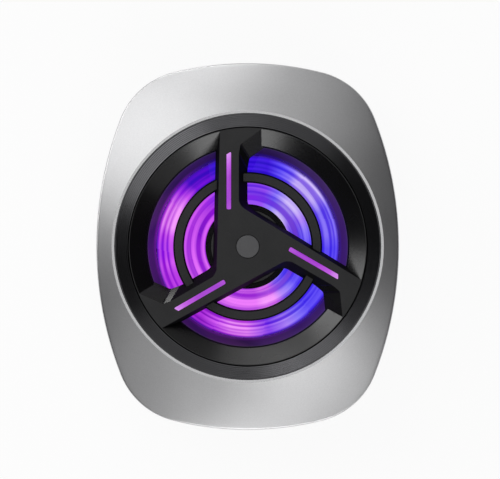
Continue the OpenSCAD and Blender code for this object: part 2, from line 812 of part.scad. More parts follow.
module cold_plate() color("#c0c4c8") {
    translate([0, 0, thermal_pad_t]) cylinder(r = cold_plate_r, h = cold_plate_t);
    translate([0, 0, z_floor]) cylinder(r = cold_flange_r, h = z_tec - z_floor);
}

module thermal_pad() color("#8a8f96") cylinder(r = cold_plate_r - seat_gap, h = thermal_pad_t);

module contact_ring() color("#303236") ring(contact_out_r, cold_hole_r + seal_gap, pad_t);

module magnets() color("#a8a8ac") around(magnet_count) translate([0, 0, z_floor])
    rotate(magnet_gap / 2) rotate_extrude(angle = 360 / magnet_count - magnet_gap)
        translate([magnet_in_r, 0]) square([magnet_out_r - magnet_in_r, magnet_t]);

module magnet_yoke() color("#787c80") translate([0, 0, z_floor + magnet_t])
    ring(magnet_out_r, magnet_in_r, yoke_ring_t);

// Casings: the vented middle frame and the domed rear cover

module mid_frame() color("#222222") difference() {
    union() {
        difference() {
            outline_block(casing_inset, z_split, z_shell);
            outline_block(casing_inset + wall, z_split - over, z_shell + over);
        }
        corner_posts(boss_r, z_split, z_shell);
        difference() {
            outline_block(wall + fit, z_shell - eps, z_shell + lip_h);
            outline_block(wall + fit + lip_w, z_shell - over, z_shell + lip_h + over);
            corner_posts(boss_r + seat_gap, z_shell - over, z_shell + lip_h + over);
        }
    }
    corner_posts(screw_clear_r, z_split - over, z_open);
    for (way = [0, 180]) rotate(way) translate([side_c, 0, 0]) slot_row(side_slots, side_arc_r);
    translate([0, end_c, 0]) rotate(90) slot_row(end_slots, end_arc_r);
    socket_hole();
}

// Row of air outlets along an arc of the outline, around the arc's own centre
module slot_row(count, arc_r) {
    for (i = [0 : count - 1]) rotate((i - (count - 1) / 2) * slot_pitch / arc_r * 180 / PI)
        translate([arc_r - casing_inset - wall / 2, 0, 0]) slot();
}

// Cutter for one air outlet, across a wall that faces X
module slot() {
    translate([-2 * wall, -slot_w / 2, z_slots]) cube([4 * wall, slot_w, slots_h]);
}

// Rounded block along Y, for the power socket
module socket_block(w, h, l, r) {
    rotate([-90, 0, 0]) linear_extrude(l) {
        square([w - 2 * r, h], center = true);
        square([w, h - 2 * r], center = true);
        for (x = [-1, 1], y = [-1, 1]) translate([x * (w / 2 - r), y * (h / 2 - r)]) circle(r = r);
    }
}

module socket_hole() {
    translate([0, -casing_end - over, z_socket]) socket_block(
        socket_w + 2 * socket_clear, socket_h + 2 * socket_clear,
        2 * (wall + over), socket_corner + socket_clear);
}

// Bowl of the rear cover's shape, moved in by an inset and filled from one level to another
module rear_bowl(inset, low, high) {
    intersection() {
        outline_block(casing_inset + inset, low, high);
        translate([0, 0, rear_dome_z]) sphere(r = rear_dome_r - inset, $fn = 200);
    }
}

module rear_cover() color("#262626") difference() {
    union() {
        difference() {
            rear_bowl(0, pad_t, z_split);
            rear_bowl(wall, z_floor, z_split + over);
        }
        intersection() {
            rear_bowl(0, pad_t, z_split);
            union() {
                corner_posts(boss_r, pad_t, z_split + over);
                translate([0, 0, pad_t]) {
                    ring(channel_out_r + magnet_rib, channel_out_r, floor_t + channel_h);
                    ring(channel_in_r, channel_in_r - magnet_rib, floor_t + channel_h);
                }
                ear_places() translate([0, 0, pad_t]) cylinder(r = ear_r, h = z_sink - pad_t);
            }
        }
        board_post_places() translate([0, 0, z_post]) cylinder(r = post_r, h = z_board - z_post);
    }
    translate([0, 0, z_floor]) ring(channel_out_r, channel_in_r, channel_h);
    translate([0, 0, pad_t - over]) cylinder(r = cold_hole_r, h = floor_t + 2 * over);
    corner_posts(screw_clear_r, 0, z_split + over);
    corner_posts(screw_head_r + screw_head_gap, 0, z_seat);
    ear_places() translate([0, 0, z_sink - ear_screw_depth])
        cylinder(r = screw_r + hair, h = ear_screw_depth + over);
    board_post_places() translate([0, 0, z_board - board_screw_depth])
        cylinder(r = board_screw_r + hair, h = board_screw_depth + over);
}

module board_post_places() {
    for (x = [-1, 1]) translate([x * post_at.x, post_at.y, 0]) children();
}

module case_screws() color("#3a3a3a") corners() translate([boss_at.x, boss_at.y, z_seat])
    rotate([180, 0, 0])
        screw(screw_r, z_shell + boss_depth - screw_tip_gap - z_seat, screw_head_r, screw_head_h);

// Electronics at the bottom end: control board, its parts and the power socket

module control_board() color("#17402c") difference() {
    translate([-board_w / 2, board_y, z_board]) cube([board_w, board_l, board_t]);
    board_post_places() translate([0, 0, z_board - over])
        cylinder(r = board_screw_r + fit, h = board_t + 2 * over);
}

module board_parts() color("#303030") translate([0, 0, z_board + board_t]) {
    beside = socket_w / 2 + part_gap;
    translate([-beside - choke.x, board_y + part_margin, 0]) cube(choke);
    translate([beside, board_y + part_margin, 0]) cube(regulator);
    translate([beside, board_y + board_l - part_margin - resistor.y, 0]) cube(resistor);
    translate([-plug_w / 2, plug_y, 0]) cube([plug_w, plug_l, plug_h]);
}

module socket_shell() color("#c4c4c4") translate([0, socket_y, z_socket]) difference() {
    socket_block(socket_w, socket_h, socket_l, socket_corner);
    translate([0, -over, 0]) socket_block(
        socket_w - 2 * socket_t, socket_h - 2 * socket_t,
        socket_l - socket_back_t + over, socket_corner - socket_t);
}

module socket_tongue() color("#1a1a1a") translate([0, socket_y, z_socket]) {
    tongue_end = socket_l - socket_back_t;
    translate([-tongue_w / 2, tongue_recess, -tongue_t / 2])
        cube([tongue_w, tongue_end - tongue_recess, tongue_t]);
    translate([-tongue_base_w / 2, tongue_end - tongue_base_l, -tongue_base_h / 2])
        cube([tongue_base_w, tongue_base_l, tongue_base_h]);
}

module board_screws() color("silver") board_post_places() translate([0, 0, z_board + board_t])
    screw(board_screw_r, board_t + board_screw_depth - screw_tip_gap, board_head_r, board_head_h);

// Leads: a pair from the cooling element and one from the fan, both to the control board

module element_leads() color("#a03030") for (x = [-lead_spread, lead_spread]) {
    run = z_floor + channel_h + lead_r + fit;
    out = board_y + board_l / 2;
    lead([
        [x, -tec_side / 2 + fit, z_tec + ceramic_t + lead_r + fit / 2],
        [x, -tec_side / 2 - lead_bend, run],
        [x, -sink_r + lead_bend, run],
        [x, -sink_r - lead_bend, run + 2 * fit],
        [x, out + lead_knee, run + lead_rise],
        [x, out, run + lead_climb],
        [x, out, z_board]
    ]);
}

module fan_lead() color("#303030") lead([
    [0, -motor_board_r + lead_bite, z_fan_lead],
    [0, -duct_r - duct_wall, z_fan_lead],
    [0, -sink_r - lead_r, z_fan_lead],
    [0, board_y + board_l + lead_knee, z_fan_lead - seat_gap],
    [0, plug_y + plug_l / 2, z_board + board_t + plug_h + lead_r + hair]
]);

front_shell();
trim_ring();
front_grille();
hub_badge();
color("#c060ff") light_bar(0);  // light_bar_1
color("#c060ff") rotate(120) light_bar(0);  // light_bar_2
color("#c060ff") rotate(240) light_bar(0);  // light_bar_3
grille_screws();
diffuser_ring();
lamp_board();
side_lamps();
bar_lamps();
impeller();
hub_cap();
rotor_yoke();
rotor_magnet();
fan_shaft();
shaft_clip();
fan_frame();
thrust_plate();
bearing_sleeve();
motor_board();
stator_core();
stator_coils();
fan_screws();
heat_sink();
sink_screws();
hot_ceramic();
pellets();
cold_ceramic();
element_seal();
cold_plate();
thermal_pad();
contact_ring();
magnets();
magnet_yoke();
mid_frame();
rear_cover();
case_screws();
control_board();
board_parts();
socket_shell();
socket_tongue();
board_screws();
element_leads();
fan_lead();
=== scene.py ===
import math

import bmesh
import bpy
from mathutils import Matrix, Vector


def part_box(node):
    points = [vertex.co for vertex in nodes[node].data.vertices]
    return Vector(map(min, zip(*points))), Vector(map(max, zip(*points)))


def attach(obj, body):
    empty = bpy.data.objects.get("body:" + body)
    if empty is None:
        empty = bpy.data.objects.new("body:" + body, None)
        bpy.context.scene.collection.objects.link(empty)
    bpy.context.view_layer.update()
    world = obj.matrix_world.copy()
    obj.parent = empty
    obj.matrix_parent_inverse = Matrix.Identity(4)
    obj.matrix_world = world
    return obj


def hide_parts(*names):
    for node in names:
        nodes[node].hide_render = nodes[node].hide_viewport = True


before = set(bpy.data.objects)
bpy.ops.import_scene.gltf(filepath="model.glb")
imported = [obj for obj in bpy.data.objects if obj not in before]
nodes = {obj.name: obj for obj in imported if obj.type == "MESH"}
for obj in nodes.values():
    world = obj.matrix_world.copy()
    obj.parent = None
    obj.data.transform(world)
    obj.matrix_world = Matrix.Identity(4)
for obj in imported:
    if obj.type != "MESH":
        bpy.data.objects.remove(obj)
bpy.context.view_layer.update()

# Camera
# A long lens looks straight down on the front, so the walls of the bowl stand as in a product picture.
# The picture is 500 points wide, and one point covers 0.2319 mm of the shell.
mm = 0.001
picture_w = 500
point = 0.2319 * mm
shell_z = 22 * mm
lens = 300
sensor = 36
reach = picture_w * point * lens / sensor
aside, above = 2.3 * point, 7 * point
bpy.ops.object.camera_add(location=(aside, above, shell_z + reach))
camera = bpy.context.object
camera.name = "camera"
camera.data.lens = lens
camera.data.sensor_width = sensor
bpy.context.scene.camera = camera


# Heat pad and contact ring
# A soft grey pad on the cold plate presses on the phone, inside a bonded ring of black silicone.
# The ring has moulded grooves that grip, and both are a little rounded at their edges.
class Wire:
    """One output in a finish. Python's operators on it add Math nodes."""

    def __init__(self, finish, socket):
        self.finish = finish
        self.socket = socket

    def math(self, operation, first, second):
        return self.finish.node("ShaderNodeMath", {"operation": operation}, {0: first, 1: second})

    def __add__(self, other):
        return self.math("ADD", self, other)

    def __radd__(self, other):
        return self.math("ADD", other, self)

    def __sub__(self, other):
        return self.math("SUBTRACT", self, other)

    def __rsub__(self, other):
        return self.math("SUBTRACT", other, self)

    def __mul__(self, other):
        return self.math("MULTIPLY", self, other)

    def __rmul__(self, other):
        return self.math("MULTIPLY", other, self)

    def __truediv__(self, other):
        return self.math("DIVIDE", self, other)

    def __pow__(self, other):
        return self.math("POWER", self, other)

    def __lt__(self, other):
        return self.math("LESS_THAN", self, other)

    def __gt__(self, other):
        return self.math("GREATER_THAN", self, other)


class Finish:
    """A material, made from nodes that read the piece's own coordinates in metres."""

    def __init__(self, name):
        self.material = bpy.data.materials.new(name)
        self.material.use_nodes = True
        self.tree = self.material.node_tree
        self.tree.nodes.clear()
        self.coords = self.node("ShaderNodeTexCoord", out="Object")
        axes = [self.node("ShaderNodeSeparateXYZ", {}, {0: self.coords}, axis) for axis in range(3)]
        self.x, self.y, self.z = axes

    def node(self, kind, settings={}, sockets={}, out=0):
        made = self.tree.nodes.new(kind)
        for key, value in settings.items():
            setattr(made, key, value)
        for key, value in sockets.items():
            if isinstance(value, Wire):
                self.tree.links.new(value.socket, made.inputs[key])
            else:
                made.inputs[key].default_value = value
        return Wire(self, made.outputs[out]) if made.outputs else None

    def far(self):
        """Distance from the fan's axis."""
        return (self.x * self.x + self.y * self.y) ** 0.5

    def turned(self):
        """Turn around the fan's axis, from 0 at -180 degrees to 1 at 180 degrees."""
        angle = self.node("ShaderNodeMath", {"operation": "ARCTAN2"}, {0: self.y, 1: self.x})
        return angle / (2 * math.pi) + 0.5

    def noise(self, size, detail, vector=None):
        sockets = {"Vector": vector or self.coords, "Scale": 1 / size, "Detail": detail}
        return self.node("ShaderNodeTexNoise", {}, sockets)

    def streaks(self, across, along):
        """Noise that is drawn out around the fan's axis."""
        polar = {0: self.far() / across, 1: self.x / along, 2: self.y / along}
        return self.noise(1.0, 0.6, self.node("ShaderNodeCombineXYZ", {}, polar))

    def ramp(self, share, stops):
        """Colours at stops along a share, each a place from 0 to 1 and a colour."""
        made = self.node("ShaderNodeValToRGB", {}, {0: share})
        elements = made.socket.node.color_ramp.elements
        while len(elements) < len(stops):
            elements.new(1.0)
        for stop, (place, shade) in zip(elements, stops):
            stop.position = place
            stop.color = shade
        return made

    def blend(self, share, first, second):
        return self.node("ShaderNodeMix", {"data_type": "RGBA"}, {0: share, 6: first, 7: second}, out=2)

    def bump(self, height, depth):
        return self.node("ShaderNodeBump", {}, {"Distance": depth, "Height": height})

    def principled(self, sockets):
        return self.node("ShaderNodeBsdfPrincipled", {}, sockets)

    def surface(self, shader):
        self.node("ShaderNodeOutputMaterial", {}, {"Surface": shader})
        return self.material


def colour(code):
    """Linear colour of a web colour code."""
    parts = [int(code[i : i + 2], 16) / 255 for i in (1, 3, 5)]
    return tuple(p / 12.92 if p <= 0.04045 else ((p + 0.055) / 1.055) ** 2.4 for p in parts) + (1.0,)


def grained(name, dark, light, rough, grain, depth, **more):
    """A finish with fine mottling in its colour and roughness and a fine relief."""
    finish = Finish(name)
    mottle = finish.noise(grain, 4.0)
    broad = finish.noise(grain * 40, 2.0)
    return finish.surface(finish.principled({
        "Base Color": finish.ramp(mottle * 0.5 + broad * 0.5, [(0.3, colour(dark)), (0.7, colour(light))]),
        "Roughness": rough - 0.06 + 0.12 * broad,
        "Normal": finish.bump(mottle, depth),
        **{key.replace("_", " "): value for key, value in more.items()},
    }))


def size(name):
    """Lowest and highest corner of a node in mm."""
    return [[value / mm for value in corner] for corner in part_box(name)]


def only(piece):
    """Makes a piece the one that is selected and active."""
    bpy.ops.object.select_all(action="DESELECT")
    piece.select_set(True)
    bpy.context.view_layer.objects.active = piece


def smooth(piece, angle=30):
    """Shades a piece smooth, apart from edges that are sharper than an angle."""
    only(piece)
    bpy.ops.object.shade_smooth_by_angle(angle=math.radians(angle))


def skin(name, loops):
    """Draws a skin through closed loops of points in mm: a circle is extruded once for each further loop."""
    bpy.ops.object.select_all(action="DESELECT")
    bpy.ops.mesh.primitive_circle_add(vertices=len(loops[0]), radius=mm)
    piece = bpy.context.object
    piece.name = piece.data.name = name
    bpy.ops.object.mode_set(mode="EDIT")
    for number, loop in enumerate(loops):
        if number:
            bpy.ops.mesh.extrude_region_move()
        shape = bmesh.from_edit_mesh(piece.data)
        order = shape.verts.layers.int.get("order")
        if order is None:
            order = shape.verts.layers.int.new("order")
            for place, corner in enumerate(shape.verts):
                corner[order] = place
        for corner in shape.verts:
            if corner.select:
                corner.co = [value * mm for value in loop[corner[order]]]
        bmesh.update_edit_mesh(piece.data)
    bpy.ops.mesh.select_all(action="SELECT")
    bpy.ops.mesh.remove_doubles(threshold=0.001 * mm)
    bpy.ops.mesh.normals_make_consistent(inside=False)
    bpy.ops.object.mode_set(mode="OBJECT")
    piece.data.attributes.remove(piece.data.attributes["order"])
    smooth(piece)
    return piece


def circle(r, z, steps):
    """Points of a level circle in mm around the fan's axis."""
    turns = [2 * math.pi * i / steps for i in range(steps)]
    return [(r * math.cos(turn), r * math.sin(turn), z) for turn in turns]


def lathe(name, profile, steps=192):
    """Turns a profile of radii and heights in mm around the fan's axis."""
    return skin(name, [circle(r, z, steps) for r, z in profile])


def settle(piece, material, slot, *stands_for, body="housing"):
    """Gives a piece its finish, its body and the node that it stands for."""
    piece.data.materials.clear()
    piece.data.materials.append(material)
    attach(piece, body)
    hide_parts(*stands_for)


def dress(material, *names):
    """Gives nodes that keep their own shape a finish."""
    for name in names:
        for place in nodes[name].material_slots:
            place.material = material


pad_r, _, pad_h = size("thermal_pad")[1]
pad = lathe("heat_pad", [
    (0, pad_h), (pad_r - 0.2, pad_h), (pad_r, pad_h - 0.1), (pad_r, 0.12), (pad_r - 0.15, 0), (0, 0),
])
pad_silicone = grained("pad_silicone", "#5d6167", "#747a82", 0.62, 0.25 * mm, 0.03 * mm)
settle(pad, pad_silicone, "pad_grey", "thermal_pad")

ring_r, _, ring_h = size("contact_ring")[1]
ring_in = pad_r + 0.75
grip_radii = (23.2, 25, 26.8, 28.2)
grip_section = ((0, 0), (0.12, 0.2), (0.5, 0.2), (0.62, 0))
grip = [(r + step, z) for r in grip_radii for step, z in grip_section]
ring = lathe("contact_ring_soft", [
    (ring_in, ring_h), (ring_in, 0.3), (ring_in + 0.15, 0.08), (ring_in + 0.4, 0), *grip,
    (ring_r - 0.4, 0), (ring_r - 0.15, 0.08), (ring_r, 0.3), (ring_r, ring_h), (ring_in, ring_h),
])
ring_silicone = grained("contact_silicone", "#1d1e20", "#2b2c2f", 0.7, 0.12 * mm, 0.01 * mm)
settle(ring, ring_silicone, "contact_silicone", "contact_ring")


# Magnets, cold plate and cooling element
# Nickel-plated arc magnets under a steel ring hold the cooler, around an aluminium plate on the pad.
# The cooling element's white ceramic plates and dark pellets lie on it inside a foam seal.
dress(grained("magnet_nickel", "#a8a49c", "#c2bfb8", 0.28, 0.4 * mm, 0.002 * mm, Metallic=1.0), "magnets")
steel = grained("plated_steel", "#8f9092", "#b4b5b6", 0.34, 0.3 * mm, 0.003 * mm, Metallic=1.0)
dress(steel, "magnet_yoke", "rotor_yoke", "stator_core")
cast = grained("cast_alloy", "#b4b7ba", "#cfd1d3", 0.42, 0.35 * mm, 0.012 * mm, Metallic=1.0)
dress(cast, "cold_plate", "heat_sink")
ceramic = grained("element_ceramic", "#e4e3dd", "#f2f1ec", 0.55, 0.5 * mm, 0.004 * mm)
dress(ceramic, "hot_ceramic", "cold_ceramic")
dress(grained("element_pellets", "#4a4b50", "#63646a", 0.45, 0.2 * mm, 0.005 * mm, Metallic=0.8), "pellets")
dress(grained("seal_foam", "#151515", "#242424", 0.85, 0.18 * mm, 0.04 * mm), "element_seal")


# Rear cover
# A black moulded bowl with a fine grain lies behind everything; its flat middle carries the contact ring.
# Four bosses rise inside its corners, and case screws sit in their counterbores.
side_arc, end_arc, corner_arc = 82.5, 72.0, 17.5
wall, casing_inset = 1.6, 1.0
half_w, half_l, _ = size("front_shell")[1]
side_c, end_c = half_w - side_arc, half_l - end_arc
spread = math.hypot(side_c, end_c)
side_reach, end_reach = side_arc - corner_arc, end_arc - corner_arc
along = (spread**2 + side_reach**2 - end_reach**2) / (2 * spread)
across = math.sqrt(side_reach**2 - along**2)
corner_x = side_c + (-side_c * along - end_c * across) / spread
corner_y = (end_c * along - side_c * across) / spread
side_turn = math.degrees(math.atan2(corner_y, corner_x - side_c))
end_turn = math.degrees(math.atan2(corner_y - end_c, corner_x))


def spaced(first, last, count):
    """Even values from the first one on, without the last one."""
    return [first + (last - first) * i / count for i in range(count)]


side_steps, corner_steps, end_steps = 12, 22, 10
quarter = spaced(0, side_turn, side_steps) + spaced(side_turn, end_turn, corner_steps)
quarter += spaced(end_turn, 90, end_steps) + [90]
facing = quarter[:-1] + [180 - turn for turn in reversed(quarter)][:-1]
facing += [180 + turn for turn in facing]


def edge(inset):
    """Points of the body's outline, moved in by an inset: bowed sides and ends joined by corner arcs."""
    points = []
    for turn in facing:
        c, s = math.cos(math.radians(turn)), math.sin(math.radians(turn))
        fold = math.degrees(math.atan2(abs(s), abs(c)))
        if fold <= side_turn:
            x, y, r = side_c, 0, side_arc
        elif fold <= end_turn:
            x, y, r = corner_x, corner_y, corner_arc
        else:
            x, y, r = 0, end_c, end_arc
        points.append((math.copysign(1, c) * x + c * (r - inset), math.copysign(1, s) * y + s * (r - inset)))
    return points


def hoop(r):
    """Points of a circle around the axis, one beside each point of the outline."""
    return [(r * x / math.hypot(x, y), r * y / math.hypot(x, y)) for x, y in edge(0)]


def between(first, last, share):
    """Points that lie a share of the way from one loop to another."""
    return [(a + (c - a) * share, b + (d - b) * share) for (a, b), (c, d) in zip(first, last)]


def level(points, z):
    """Gives points their height, which is a number or a function of their distance from the axis."""
    return [(x, y, z(math.hypot(x, y)) if callable(z) else z) for x, y in points]


def apply(piece, modifier):
    only(piece)
    bpy.ops.object.modifier_apply(modifier=modifier.name)


def joined(pieces):
    """Joins pieces into the first of them."""
    only(pieces[0])
    for piece in pieces[1:]:
        piece.select_set(True)
    if len(pieces) > 1:
        bpy.ops.object.join()
    return pieces[0]


def cut(piece, tools, operation="DIFFERENCE"):
    """Cuts a piece with tools, or unites them with it, and removes the tools."""
    tool = joined(tools)
    boolean = piece.modifiers.new("cut", "BOOLEAN")
    boolean.operation = operation
    boolean.solver = "EXACT"
    boolean.object = tool
    apply(piece, boolean)
    bpy.data.objects.remove(tool)
    smooth(piece)


def rod(x, y, low, high, r, steps=48):
    """A round rod in mm, upright at a place, for cuts."""
    bpy.ops.object.select_all(action="DESELECT")
    middle = (x * mm, y * mm, (low + high) / 2 * mm)
    bpy.ops.mesh.primitive_cylinder_add(
        vertices=steps, radius=r * mm, depth=(high - low) * mm, location=middle,
    )
    bpy.ops.object.transform_apply(location=True)
    return bpy.context.object


rear_low, split = (corner[2] for corner in size("rear_cover"))
rear_t = 0.8
rear_floor = rear_low + rear_t
rear_flat_r, rear_dome_r = 30.5, 110
hole_r = pad_r + 0.5


def rear(r, thick=0):
    """Height of the cover's outer face, or of its inner face, at a distance from the axis."""
    centre = rear_low + math.sqrt(rear_dome_r**2 - rear_flat_r**2)
    return centre - math.sqrt((rear_dome_r - thick) ** 2 - r**2)


def rear_inner(r):
    return max(rear_floor, rear(r, wall))


rear_round = 0.6
rear_steps, round_steps, floor_steps = 9, 5, 4
foot_line = edge(casing_inset + rear_round)
flat_edge = hoop(rear_flat_r)
inner_edge = edge(casing_inset + wall)
floor_edge = hoop(29)
loops = [level(hoop(hole_r), rear_floor), level(hoop(hole_r), rear_low + 0.15)]
loops += [level(hoop(hole_r + 0.15), rear_low), level(flat_edge, rear_low)]
loops += [level(between(flat_edge, foot_line, i / rear_steps), rear) for i in range(1, rear_steps + 1)]
for step in range(1, round_steps + 1):
    turn = math.radians(90 * step / round_steps)
    drawn = edge(casing_inset + rear_round * (1 - math.sin(turn)))
    rise = rear_round * (1 - math.cos(turn))
    loops.append([(x, y, rear(math.hypot(*foot)) + rise) for (x, y), foot in zip(drawn, foot_line)])
loops += [level(edge(casing_inset), split - 0.15), level(edge(casing_inset + 0.15), split)]
loops.append(level(inner_edge, split))
loops += [level(between(inner_edge, floor_edge, i / floor_steps), rear_inner) for i in range(floor_steps + 1)]
loops.append(loops[0])
cover = skin("rear_bowl", loops)
screw_low, screw_high = size("case_screws")
screw_head_r, screw_head_h = 1.9, 1.3
screw_x, screw_y = screw_high[0] - screw_head_r, screw_high[1] - screw_head_r
screws = [(x, y) for x in (-screw_x, screw_x) for y in (-screw_y, screw_y)]
seat = screw_low[2] + screw_head_h
boss_low, boss_r = 5, 3
cut(cover, [rod(x, y, boss_low, split - 0.05, boss_r) for x, y in screws], "UNION")
cut(cover, [rod(x, y, 0, seat, screw_head_r + 0.2) for x, y in screws])
casing = grained("casing_plastic", "#1b1b1c", "#262627", 0.5, 0.16 * mm, 0.018 * mm)
settle(cover, casing, "casing_black", "rear_cover")
dress(grained("black_oxide", "#19191a", "#2c2c2d", 0.4, 0.1 * mm, 0.004 * mm, Metallic=0.9), "case_screws")


# Middle frame
# A black moulded belt between the rear cover and the front shell lets warm air out through rounded slots.
# A lip on its upper edge fits inside the shell, and the power socket shows through its lower end.
shell_low = size("front_shell")[0][2]
lip_top = size("mid_frame")[1][2]
lip_edge = edge(wall + 0.1)
belt = skin("vented_belt", [
    level(edge(casing_inset + 0.15), split), level(edge(casing_inset), split + 0.15),
    level(edge(casing_inset), shell_low), level(lip_edge, shell_low), level(lip_edge, lip_top),
    level(inner_edge, lip_top), level(inner_edge, split), level(edge(casing_inset + 0.15), split),
])


def tablet(w, d, h, r, axis, segments=5):
    """A block in mm around the origin whose edges along one axis are rounded."""
    bpy.ops.object.select_all(action="DESELECT")
    bpy.ops.mesh.primitive_cube_add(size=1)
    block = bpy.context.object
    block.scale = (w * mm, d * mm, h * mm)
    bpy.ops.object.transform_apply(scale=True)
    bpy.ops.object.mode_set(mode="EDIT")
    bpy.ops.mesh.select_mode(type="EDGE")
    bpy.ops.mesh.select_all(action="DESELECT")
    shape = bmesh.from_edit_mesh(block.data)
    for line in shape.edges:
        run = line.verts[0].co - line.verts[1].co
        line.select_set(abs(run[axis]) > 0.9 * run.length)
    bmesh.update_edit_mesh(block.data)
    bpy.ops.mesh.bevel(offset=r * mm, segments=segments, affect="EDGES")
    bpy.ops.mesh.select_mode(type="VERT")
    bpy.ops.object.mode_set(mode="OBJECT")
    return block


def put(block, x=0, y=0, z=0, turn=0):
    """Turns a block around the upright axis, moves it in mm and keeps its place in its mesh."""
    only(block)
    block.rotation_euler = (0, 0, math.radians(turn))
    block.location = (x * mm, y * mm, z * mm)
    bpy.ops.object.transform_apply(location=True, rotation=True)
    return block


def copy_of(piece):
    only(piece)
    bpy.ops.object.duplicate()
    return bpy.context.object


def turned_copies(piece, count):
    """A piece and its copies, turned in equal steps around the fan's axis."""
    return [piece] + [put(copy_of(piece), turn=360 * i / count) for i in range(1, count)]


slot_pitch, slot_w, slot_margin, slot_round = 3.8, 2.2, 1.4, 1.0
side_slots, end_slots = 6, 3
slot_z = (split + shell_low) / 2
slot = tablet(4 * wall, slot_w, shell_low - split - 2 * slot_margin, slot_round, 0)
wall_depth = casing_inset + wall / 2
places = []
for i in range(-side_slots, side_slots + 1):
    turn = i * slot_pitch / side_arc
    x, y = side_c + (side_arc - wall_depth) * math.cos(turn), (side_arc - wall_depth) * math.sin(turn)
    places += [(x, y, math.degrees(turn)), (-x, y, -math.degrees(turn))]
for i in range(-end_slots, end_slots + 1):
    turn = i * slot_pitch / end_arc
    x, y = -(end_arc - wall_depth) * math.sin(turn), end_c + (end_arc - wall_depth) * math.cos(turn)
    places.append((x, y, 90 + math.degrees(turn)))
slots = [put(copy_of(slot), x, y, slot_z, turn) for x, y, turn in places]
bpy.data.objects.remove(slot)
socket_low, socket_high = size("socket_shell")
socket_gap, socket_round, socket_inset = 0.25, 1.45, 1.5
socket_w, socket_h = (socket_high[axis] - socket_low[axis] + 2 * socket_gap for axis in (0, 2))
socket_hole = tablet(socket_w, 4 * wall, socket_h, socket_round, 1, 8)
slots.append(put(socket_hole, 0, socket_inset - half_l, slot_z))
cut(belt, slots)
settle(belt, casing, "casing_black", "mid_frame")


# Control board and power socket
# A small green board on two posts carries a regulator, a choke and a connector behind the plated socket.
# Insulated leads run from the cooling element and from the fan.
solder_mask = grained("solder_mask", "#0f3a26", "#174c33", 0.35, 0.3 * mm, 0.006 * mm)
dress(solder_mask, "control_board", "lamp_board", "motor_board")
chip = grained("moulded_chip", "#1a1a1b", "#2a2a2b", 0.55, 0.1 * mm, 0.01 * mm)
dress(chip, "board_parts", "socket_tongue")
nickel = grained("socket_nickel", "#aeaeac", "#c9c9c7", 0.25, 0.3 * mm, 0.002 * mm, Metallic=1.0)
dress(nickel, "socket_shell")
bright = grained("bright_steel", "#b2b2b2", "#cdcdcd", 0.25, 0.15 * mm, 0.002 * mm, Metallic=1.0)
dress(bright, "board_screws", "sink_screws", "fan_screws", "grille_screws")
dress(bright, "fan_shaft", "shaft_clip", "thrust_plate")
dress(grained("red_insulation", "#8a1a16", "#a32620", 0.45, 0.2 * mm, 0.003 * mm), "element_leads")
dress(grained("black_insulation", "#151516", "#202021", 0.45, 0.2 * mm, 0.003 * mm), "fan_lead")


# Fan frame and motor
# A black moulded frame stands on the heat sink and holds the duct, the bearing tube and the lamp board.
# A bronze sleeve, copper coils and a dull ring magnet make up the motor inside the hub.
dress(grained("frame_plastic", "#141415", "#1d1d1e", 0.5, 0.15 * mm, 0.01 * mm), "fan_frame")
bronze = grained("oiled_bronze", "#8a6434", "#a67c44", 0.35, 0.12 * mm, 0.004 * mm, Metallic=1.0)
dress(bronze, "bearing_sleeve")
copper = Finish("enamelled_copper")
winding = copper.node("ShaderNodeTexWave", {"bands_direction": "Z"}, {
    "Vector": copper.coords, "Scale": 1.2 / mm, "Distortion": 0.4,
})
dress(copper.surface(copper.principled({
    "Base Color": copper.blend(winding, colour("#6e3413"), colour("#c46f35")),
    "Roughness": 0.25 + 0.2 * winding,
    "Metallic": 1.0,
    "Normal": copper.bump(winding, 0.05 * mm),
})), "stator_coils")
dress(grained("dull_ferrite", "#2b2b2c", "#3a3a3b", 0.6, 0.1 * mm, 0.006 * mm), "rotor_magnet")


# Impeller
# A translucent moulding with bowed blades around a black hub, lit from the side by blue and violet lamps.
# As it turns, the light draws bright arcs around the axis on the blades.
blade_count, blade_bow, blade_t = 11, 1.0, 0.9
blade_w, blade_h = 12.8, 6.4
section_steps, blade_steps = 24, 12
hub_wall, tip_room = 0.8, 0.08
(_, _, rotor_low), (_, tip_r, hub_top) = size("impeller")
cap_r = size("hub_cap")[1][0]
hub_r = cap_r + hub_wall
hub_in = hub_r - hub_wall
chord = math.hypot(blade_w, blade_h)
bow_r = (chord**2 / 4 + blade_bow**2) / (2 * blade_bow)
half_turn = math.asin(chord / 2 / bow_r)
lean = math.atan2(blade_h, blade_w)
section = []
for side in (1, -1):
    for i in range(section_steps + 1):
        a = half_turn * (1 - 2 * i / section_steps) * side
        r = bow_r + side * blade_t / 2
        u, v = -r * math.sin(a), r * math.cos(a) - bow_r + blade_bow
        along, up = u * math.cos(lean) - v * math.sin(lean), u * math.sin(lean) + v * math.cos(lean)
        along = max(-blade_w / 2, min(blade_w / 2, along))
        section.append((along, rotor_low + max(0, min(blade_h, blade_h / 2 + up))))
root_r = hub_r - 0.4
blade_end = tip_r + 0.2
blade = skin("blade", [
    [(math.sqrt(r * r - along * along), along, z) for along, z in section]
    for r in spaced(root_r, blade_end, blade_steps) + [blade_end]
])
only(blade)
bpy.ops.object.mode_set(mode="EDIT")
bpy.ops.mesh.select_all(action="SELECT")
bpy.ops.mesh.fill_holes(sides=0)
bpy.ops.mesh.select_all(action="SELECT")
bpy.ops.mesh.normals_make_consistent(inside=False)
bpy.ops.object.mode_set(mode="OBJECT")
hub = lathe("impeller_lit", [
    (hub_in, rotor_low), (hub_r - 0.1, rotor_low), (hub_r, rotor_low + 0.15), (hub_r, hub_top - 0.25),
    (hub_r - 0.25, hub_top), (cap_r + 0.03, hub_top), (cap_r + 0.03, hub_top - 0.4), (0, hub_top - 0.4),
    (0, hub_top - 1), (hub_in, hub_top - 1), (hub_in, rotor_low),
])
joined([hub] + turned_copies(blade, blade_count))
